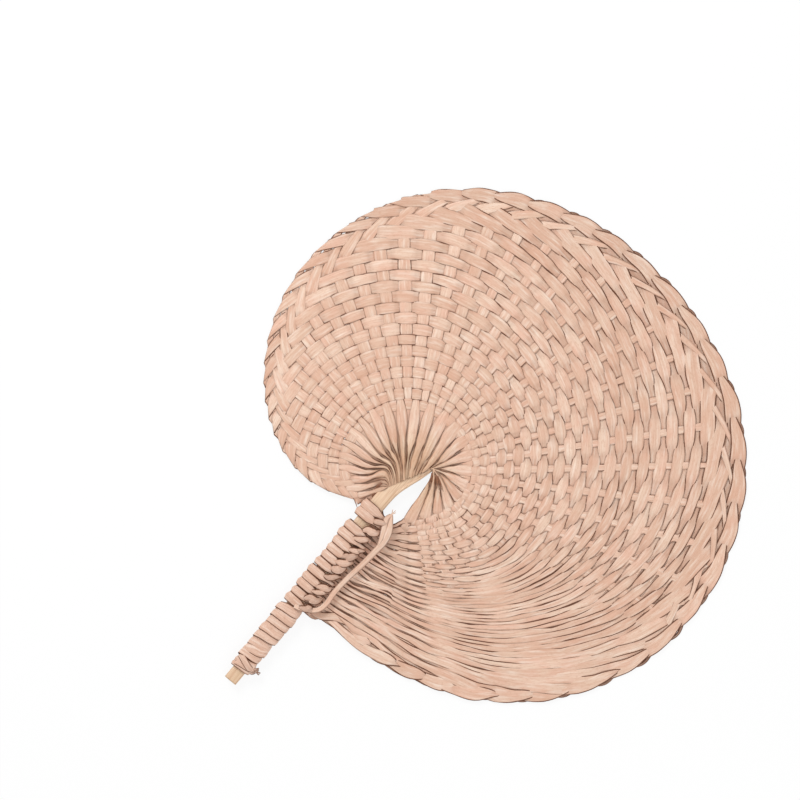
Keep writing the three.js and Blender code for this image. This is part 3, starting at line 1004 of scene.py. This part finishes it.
faces = 0
for strip in range(STRIP_COUNT):
    label = f"{strip + 1:02d}"
    tint = float(wobble.uniform(0, 1))
    run = strip_run(strip)
    piece = ribbon("woven_strip_" + label, [run], LEAF, STRIP_THICKNESS, tint, "leaf", "leaf_strip_" + label)
    faces += len(piece.data.polygons)
print("strips:", STRIP_COUNT, "faces:", faces)

# %% [markdown]
# ## The stick
# The stick is the split stalk: flat, with rounded edges and a square-cut end. Its finish has fine fibres and soft
# patches, which are noises drawn out along it.

# %% The stalk's finish
def stalk_finish():
    finish, tree = new_finish("split stalk")
    add, get, _ = node_maker(tree)
    shader = tree.nodes["Principled BSDF"]
    place = add("TexCoord").outputs["Object"]

    def streaks(scale, detail):
        where = get("Mapping", {"Vector": place, "Scale": scale})
        return get("TexNoise", {"Vector": where, "Scale": 1.0, "Detail": detail})

    def tones(value, *stops):
        node = add("ValToRGB", {"Fac": value})
        for k, (position, colour) in enumerate(stops):
            element = node.color_ramp.elements[k]
            element.color, element.position = colour, position
        return node.outputs["Color"]

    fibres = streaks((1500, 40, 1500), 3.0)
    patches = tones(streaks((120, 35, 120), 2.0), (0.3, srgb(222, 188, 154)), (0.7, srgb(240, 208, 178)))
    lines = tones(fibres, (0.3, srgb(204, 168, 134)), (0.55, srgb(255, 255, 255)))
    colour = blended(add, 0.5, patches, lines, "MULTIPLY")
    bump = get("Bump", {"Height": fibres, "Strength": 0.4, "Distance": 0.15 * MM})
    set_inputs(shader, {"Base Color": colour, "Roughness": 0.5, "Normal": bump})
    return finish


STALK = stalk_finish()
print("finish:", STALK.name)

# %% [markdown]
# At the hub the stick bends to the right and thins out into a veined head, from which the ribs spread. It is
# skinned section by section, with the veins as real grooves that grow towards the head.

# %% The stick and its veined head
STICK_LINE = np.array([
    (0, -178.2), (0, -120), (0, -60), (0, -24), (0.4, -15), (3, -7), (7.4, 2), (12.4, 11.6)]) * MM
STICK_HALVES = np.array([4.5, 4.7, 5.1, 5.4, 5.5, 5.2, 4.0, 1.6]) * MM
STICK_THICK = np.array([5, 5, 5, 5, 4.6, 3.6, 2.8, 1.6]) * MM
STICK_ROUND = 4.0
STICK_RINGS = 150
VEINS = 5
VEIN_DEPTH = 0.4 * MM
HEAD_RISE = 0.4 * MM
SECTION_SIDES = 48


def bent(values, power):
    """A power that keeps the sign, for sections with rounded corners."""
    return np.sign(values) * np.abs(values) ** power


def stick_mesh():
    knots = way_along(STICK_LINE)
    at = np.linspace(0, knots[-1], STICK_RINGS)
    line = resampled(STICK_LINE, knots, at, 5)
    half, thick = (np.interp(at, knots, values) for values in (STICK_HALVES, STICK_THICK))
    along = unit(np.gradient(line, axis=0))
    angle = np.arange(SECTION_SIDES) / SECTION_SIDES * 2 * np.pi
    wide, high = (bent(values, 2 / STICK_ROUND) for values in (np.cos(angle), np.sin(angle)))
    veined = ramp(at, knots[3], 12 * MM)
    groove = np.outer(veined * VEIN_DEPTH, np.cos(wide * np.pi * VEINS) * np.abs(high))
    side = np.stack([along[:, 1], -along[:, 0]], axis=1)
    x = STICK_X + line[:, :1] + side[:, :1] * half[:, None] * wide
    y = HUB[1] + line[:, 1:] + side[:, 1:] * half[:, None] * wide
    z = STICK_Z + HEAD_RISE * veined[:, None] + (thick[:, None] / 2) * high + groove * np.sign(high)
    points = np.stack([x, y, z], axis=2).reshape(-1, 3)
    rings = np.arange(len(points)).reshape(STICK_RINGS, SECTION_SIDES)
    beside = np.roll(rings, -1, axis=1)
    quads = np.stack([rings[:-1], beside[:-1], beside[1:], rings[1:]], axis=2).reshape(-1, 4)
    faces = [rings[0, ::-1].tolist(), *quads.tolist(), rings[-1].tolist()]
    mesh = bpy.data.meshes.new("stalk")
    mesh.from_pydata(points.tolist(), [], faces)
    outward(mesh)
    mesh.materials.append(STALK)
    for face in mesh.polygons:
        face.use_smooth = len(face.vertices) == 4
    return mesh


stalk = placed("stalk", stick_mesh())
settle(stalk, "stalk", "handle_stick")
print("stalk faces:", len(stalk.data.polygons))

# %% [markdown]
# ## The lashing, the grip and the knot
# Three strips are wound round the stick. A wound path is a loop with rounded corners whose place along the stick
# grows with each turn. The turns are laid by hand, so they are uneven, from a random seed of their own.

# %% A wound path
LOOP_POINTS = 40
LOOP_ROUND = 3.2
WRAP_LOW, WRAP_HIGH = 1.6 * MM, 8.4 * MM
wobble = np.random.default_rng(12)


def loop(left, right, low, high):
    angle = np.linspace(0, 2 * np.pi, LOOP_POINTS, endpoint=False) - np.pi / 2
    sides = np.cos(angle), np.sin(angle)
    x, z = (bent(values, 2 / LOOP_ROUND) for values in sides)
    out = unit(np.stack([bent(values, 2 - 2 / LOOP_ROUND) for values in sides], 1))
    return mix(left, right, (x + 1) / 2), mix(low, high, (z + 1) / 2), out


def wound(turns, distance_at, sizes_at, half_at, crown, tilt, shade):
    """A ribbon round the stick. At a turn: its distance along the stick, its loop's sizes, and its width at x."""
    points, lifts, halves = [], [], []
    for step in range(int(turns * LOOP_POINTS) + 1):
        turn = step / LOOP_POINTS
        x, z, out = loop(*sizes_at(turn))
        k = step % LOOP_POINTS
        points.append((STICK_X + x[k], HUB[1] - distance_at(turn), z[k]))
        lifts.append((out[k][0], 0, out[k][1]))
        halves.append(half_at(turn, x[k]))
    across = np.array([0.0, -1.0, 0.0])
    return run_of(points, np.array(halves), crown, np.array(lifts), across, tilt=tilt, shade=shade)


def uneven(turns, size):
    """A hand-made unevenness: one random value per turn, blended from each to the next."""
    values = wobble.normal(0, size, math.ceil(turns) + 2)
    return lambda turn: float(np.interp(turn, np.arange(len(values)), values))


print("points of a turn:", LOOP_POINTS)

# %% [markdown]
# The lashing's turns lie square across the stick and step on from one to the next underneath. They are wide on
# the left and narrow on the right, where they take in the weft ends. After the first turns some stick is bare.

# %% The lashing
LASH_TURNS = 13
LASH_STEP = 6.0 * MM
BARE_GAP = 5.5 * MM
LASH_LEFT, LASH_RIGHT = -7.4 * MM, 11.2 * MM
LASH_HALVES = (3.2 * MM, 1.6 * MM)
LASH_UNEVEN = (0.45 * MM, 0.1, 0.5 * MM)
lash_bulge, lash_swell, lash_shift = (uneven(LASH_TURNS, size) for size in LASH_UNEVEN)


def lash_distance(turn):
    whole = math.floor(turn + 0.5)
    spot = whole - 1 + float(smooth((turn + 0.5 - whole) * 5 - 2))
    gap = BARE_GAP * float(ramp(spot, 1.2, 0.7))
    return LASH_START + spot * LASH_STEP + gap + lash_shift(turn)


def lash_sizes(turn):
    bulge = lash_bulge(turn)
    return LASH_LEFT - bulge, LASH_RIGHT, WRAP_LOW, WRAP_HIGH + bulge


def lash_half(turn, x):
    return mix(*LASH_HALVES, float(beyond(x, 1, 7))) * (1 + lash_swell(turn))


lash_run = wound(LASH_TURNS, lash_distance, lash_sizes, lash_half, 1.0 * MM, 0.06, 2.0)
ribbon("lashing_strip", [lash_run], WRAP_LEAF, 0.7 * MM, 0.35, "leaf_wrap", "lashing")
print("lashing turns:", LASH_TURNS)

# %% [markdown]
# Each turn is locked by a half hitch on its right half. The hitches make a chain of short, plump ribbons that
# slant across the turns.

# %% The hitches on the lashing
HITCH_HALF = 2.7 * MM
HITCH_POINTS = np.array([
    (3.6, 3.0, 8.4), (5.8, 1.8, 10.2), (8.0, 0.2, 10.7), (10.2, -1.5, 9.8), (12.0, -2.9, 7.0)]) * MM


def curve_through(points, count=14):
    points = np.asarray(points, float)
    return through(points, np.linspace(0, len(points) - 1, count))


def on_stick(points, distance):
    points = np.asarray(points, float) * [1, -1, 1]
    return points + [STICK_X, HUB[1] - distance, 0]


hitch_runs = []
for turn in range(LASH_TURNS - 1):
    distance = lash_distance(turn + 1.0)
    bent_points = HITCH_POINTS + wobble.normal(0, 0.5 * MM, HITCH_POINTS.shape)
    path = on_stick(curve_through(bent_points + wobble.normal(0, 0.6 * MM, 3)), distance)
    lens = np.sin(np.linspace(0.08, 0.94, len(path)) * np.pi) ** 0.6
    half = HITCH_HALF * (1 + wobble.normal(0, 0.12)) * lens
    hitch_runs.append(run_of(path, half, 1.4 * MM, dive=wobble.uniform(0, 1.2), shade=2.2))
ribbon("hitch_chain", hitch_runs, WRAP_LEAF, 0.8 * MM, 0.3, "leaf_wrap", "hitch_row")
print("hitches:", len(hitch_runs))

# %% [markdown]
# The grip is a wider strip, wound round the lower stick so that its turns slant and overlap like shingles.

# %% The grip
GRIP_START = 115 * MM
GRIP_PITCH = 5.7 * MM
GRIP_TURNS = 8.6
GRIP_HALVES = (7.4 * MM, 6.2 * MM)
GRIP_STRIP_HALF = 3.7 * MM
GRIP_UNEVEN = (0.35 * MM, 0.16, 0.7 * MM, 0.045)
grip_bulge, grip_swell, grip_shift, grip_lay = (uneven(3 * GRIP_TURNS, size) for size in GRIP_UNEVEN)


def grip_distance(turn):
    return GRIP_START + turn * GRIP_PITCH + grip_shift(3 * turn)


def grip_sizes(turn):
    bulge = grip_bulge(3 * turn)
    half = mix(*GRIP_HALVES, turn / GRIP_TURNS) + bulge
    return -half, half, WRAP_LOW, WRAP_HIGH + bulge - 0.5 * MM * (turn % 1)


def grip_half(turn, x):
    return GRIP_STRIP_HALF * (1 + grip_swell(3 * turn))


grip_steps = range(int(GRIP_TURNS * LOOP_POINTS) + 1)
grip_tilt = [0.17 + grip_lay(3 * step / LOOP_POINTS) for step in grip_steps]
grip_run = wound(GRIP_TURNS, grip_distance, grip_sizes, grip_half, 0.5 * MM, grip_tilt, 2.2)
ribbon("grip_strip", [grip_run], WRAP_LEAF, 0.7 * MM, 0.15, "leaf_wrap", "grip_wrap")
print("grip turns:", GRIP_TURNS)

# %% [markdown]
# The grip ends in a knot: two tight turns, a band drawn over them, and a short tail that is frayed to fibres.

# %% The end knot and its frayed tail
KNOT_START = 162 * MM
KNOT_PITCH = 3.0 * MM
KNOT_HALF = 6.3 * MM
KNOT_STRIP_HALF = 2.2 * MM
KNOT_BAND = np.array([
    (-6.4, -1.4, 6.6), (-3.4, -0.8, 9.2), (0.4, 0.6, 9.8), (4, 1.8, 9.2), (6.8, 2.6, 7), (7.4, 2.2, 4)]) * MM
TAIL_ROOT = np.array([6.2, 1.0, 7.0]) * MM
TAIL_FIBRES = 8
FIBRE_POINTS = 8
knot_runs = [wound(
    2,
    lambda turn: KNOT_START + turn * KNOT_PITCH,
    lambda turn: (-KNOT_HALF, KNOT_HALF, WRAP_LOW, WRAP_HIGH),
    lambda turn, x: KNOT_STRIP_HALF,
    0.7 * MM, 0.1, 1.2)]
band = on_stick(curve_through(KNOT_BAND, 24), KNOT_START)
knot_runs.append(run_of(band, KNOT_STRIP_HALF, 0.8 * MM, shade=1.2))
for fibre in range(TAIL_FIBRES):
    spread = mix(-0.9, 0.3, fibre / (TAIL_FIBRES - 1)) + wobble.normal(0, 0.1)
    reach = wobble.uniform(3.5, 6) * MM
    tip = TAIL_ROOT + reach * np.array([math.cos(spread), math.sin(spread), -0.25 + 0.2 * math.sin(fibre)])
    middle = (TAIL_ROOT + tip) / 2 + [0, 0, 0.8 * MM]
    path = on_stick(curve_through([TAIL_ROOT, middle, tip], FIBRE_POINTS), KNOT_START)
    knot_runs.append(run_of(path, 0.45 * MM, 0.1 * MM, dive=np.linspace(0, 3, FIBRE_POINTS), shade=0.8))
ribbon("end_knot_strip", knot_runs, WRAP_LEAF, 0.5 * MM, 0.25, "leaf_wrap", "end_knot")
print("knot runs:", len(knot_runs))

# %% [markdown]
# ## The tie strand
# A loose strand lies beside the lashing. Its upper end is split into two points with a few hairs. It bows out
# over the weft ends, and its lower end hooks back to the stick under the last turn.

# %% Two ribbons that run together
TIE_LINE = np.array([
    (11.2, 28.5, 9.2), (13.7, 32.7, 10.0), (16.6, 38.1, 10.2), (18.5, 45.6, 10.1), (18.1, 54.4, 9.9),
    (17.4, 64.6, 9.8), (15.8, 76.4, 9.6), (14.9, 90.5, 9.5), (15.6, 99, 9.5), (14.4, 105.4, 9.8),
    (10.4, 109.6, 10.0), (5.2, 112.6, 9.8), (0.6, 114, 8.8)]) * MM
TIE_POINT = np.array([
    (11.0, 28.8, 9.4), (10.4, 33.0, 10.4), (13.0, 38.6, 10.7), (15.8, 44.9, 10.5), (17.6, 52, 10.0)]) * MM
TIE_WIDTHS = (0.7, 2.6, 2.2, 1.9, 1.9, 1.8, 1.8)
POINT_WIDTHS = (0.9, 1.9, 1.9, 1.5, 0.6)
TIE_HAIRS = np.array([(9.6, 25.6), (11.4, 24.8), (12.4, 25.8)]) * MM
tie_runs = []
for tip in TIE_HAIRS:
    path = on_stick(curve_through([TIE_POINT[1], TIE_POINT[0], [*tip, 9.6 * MM]], 10), 0)
    tie_runs.append(run_of(path, np.linspace(0.5, 0.2, 10) * MM, 0.1 * MM, shade=0.5))
for line, widths in ((TIE_POINT, POINT_WIDTHS), (TIE_LINE, TIE_WIDTHS)):
    path = on_stick(curve_through(line, 60), 0)
    half = np.interp(np.linspace(0, 1, len(path)), np.linspace(0, 1, len(widths)), widths) * MM
    turn = 0.25 * np.sin(np.linspace(0, 5, len(path)))
    tie_runs.append(run_of(path, half, 0.5 * MM, shade=0.8, tilt=turn))
ribbon("tie_ribbon", tie_runs, LEAF, 0.5 * MM, 0.4, "leaf_wrap", "tie_strand")
print("tie strand, mm:", mm(tie_runs[-1]["run"][-1]))

# %% [markdown]
# ## Torn leaf
# Where the last ribs leave the head, the leaf's tissue was torn away, and brown fibres stand along the opening.
# A torn edge runs down beside the stick, with a flap of a pleat under it. Each is a bunch of bent fibres.

# %% The fibres by the opening and beside the stick
FIBRE_RUN = 10
TORN_THICKNESS = 0.25 * MM
TORN_BUNCHES = {
    "torn_fibres": (
        TORN_LEAF, 0.5, 22,
        ((10.8, 8.6), (15.8, 9.8)), ((15.5, 0.4), (22.8, 3.0)), (2.2, 1.2), (0.12, 0.4), (0, 2.4)),
    "torn_edge": (
        TORN_LEAF, 0.6, 12,
        ((-6.6, -14.0), (-9.8, -13.0)), ((-6.6, -29.0), (-9.0, -27.0)), (1.8, 0.6), (0.2, 0.6), (0.5, 3.0)),
    "torn_pleat": (
        LEAF, 0.5, 7,
        ((-5.5, -15.0), (-8.6, -15.0)), ((-7.0, -36.0), (-12.0, -36.0)), (0.2, -0.4), (0.9, 1.3), (0.4, 1.4)),
}


def torn_bunch(count, near, far, rise, halves, dives):
    """Fibres from one short line to another, given in millimetres from the hub."""
    runs = []
    for share in np.linspace(0, 1, count):
        begin = mix(*np.array(near), share) * MM
        end = mix(*np.array(far), share) * MM + wobble.normal(0, 0.9 * MM, 2)
        bend = (begin + end) / 2 + wobble.normal(0, 0.8 * MM, 2)
        plan = curve_through([begin, bend, end], FIBRE_RUN) + HUB
        height = STICK_Z + np.linspace(*rise, FIBRE_RUN) * MM + wobble.normal(0, 0.2 * MM)
        half = wobble.uniform(*halves) * MM * np.linspace(1, 0.6, FIBRE_RUN)
        dive = wobble.uniform(*dives)
        runs.append(run_of(np.column_stack([plan, height]), half, 0.2 * MM, dive=dive, shade=0.5))
    return runs


for name, (finish, tint, *bunch) in TORN_BUNCHES.items():
    torn_runs = torn_bunch(*bunch)
    ribbon(name, torn_runs, finish, TORN_THICKNESS, tint, "leaf")
    print(name + ":", len(torn_runs), "fibres")

# %% [markdown]
# ## Floor, light and camera
# The fan lies on a white floor under a white sky. The floor glows to the camera, so that it stays white in the
# picture and still takes a soft shadow. The main lamp stands low on the left and draws the weave's relief, and a
# broad one opposite fills the shadows. The camera looks straight down, with the handle to the lower left.

# %% The floor and the world
FLOOR_REACH = 4.0
FLOOR_GLOW = 0.88
WORLD_LIGHT = 0.57


def white_floor():
    mesh = bpy.data.meshes.new("floor")
    corners = [(x * FLOOR_REACH, y * FLOOR_REACH, 0) for x, y in ((-1, -1), (1, -1), (1, 1), (-1, 1))]
    mesh.from_pydata(corners, [], [(0, 1, 2, 3)])
    finish, tree = new_finish("floor")
    tree.nodes.clear()
    add, get, maths = node_maker(tree)
    light_path = add("LightPath").outputs
    seen = maths("MAXIMUM", light_path["Is Camera Ray"], light_path["Is Glossy Ray"])
    seen = maths("MAXIMUM", seen, light_path["Is Transmission Ray"])
    share = maths("MULTIPLY", seen, FLOOR_GLOW)
    plain = get("BsdfDiffuse", {"Color": (0.96, 0.96, 0.96, 1)})
    glow = get("Emission", {"Color": (1, 1, 1, 1), "Strength": 1.0})
    both = get("MixShader", {0: share, 1: plain, 2: glow})
    add("OutputMaterial", {"Surface": both})
    mesh.materials.append(finish)
    return placed("floor", mesh)


def white_world():
    world = bpy.data.worlds.new("studio")
    world.use_nodes = True
    tree = world.node_tree
    tree.nodes.clear()
    add, get, _ = node_maker(tree)
    seen = add("LightPath").outputs["Is Camera Ray"]
    level = get("MapRange", {"Value": seen, "To Min": WORLD_LIGHT, "To Max": 1.0})
    back = get("Background", {"Color": (1, 1, 1, 1), "Strength": level})
    add("OutputWorld", {"Surface": back})
    return world


floor = white_floor()
floor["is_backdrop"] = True
bpy.context.scene.world = white_world()
print("light from the world:", WORLD_LIGHT)

# %% The lamps
def lamp(name, place, size, power):
    piece = placed(name, bpy.data.lights.new(name, "AREA"))
    piece.data.size = size
    piece.data.energy = power
    piece.location = place
    piece.rotation_mode = "QUATERNION"
    piece.rotation_quaternion = (-piece.location).to_track_quat("-Z", "Y")
    return piece


lamps = [lamp("key", (-1.0, 0.35, 0.95), 0.5, 9.5), lamp("fill", (0.9, -0.3, 1.1), 1.2, 6)]
print("lamps:", [piece.name for piece in lamps])

# %% The camera, straight above
PHOTO_TURN = math.radians(39.93)
FRAME_WIDTH = 0.52
CAMERA_HEIGHT = 1.6
VIEW_CENTRE = np.array([-35.0, 31.7]) * MM
camera = placed("camera", bpy.data.cameras.new("camera"))
camera.location = (*(HUB + VIEW_CENTRE), CAMERA_HEIGHT)
camera.rotation_euler = (0, 0, PHOTO_TURN)
camera.data.lens = camera.data.sensor_width * CAMERA_HEIGHT / FRAME_WIDTH
bpy.context.scene.camera = camera
bpy.context.scene.view_settings.view_transform = "Standard"
print("lens, mm:", round(camera.data.lens, 1))

# %% [markdown]
# The finished model's box is kept beside the CAD box, so that the two can be compared.

# %% Sizes, and the end
boxes = {"cad": [list(corner) for corner in cad_box], "visual": [list(corner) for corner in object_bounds()]}
print("visual box, mm:", [mm(corner) for corner in boxes["visual"]])
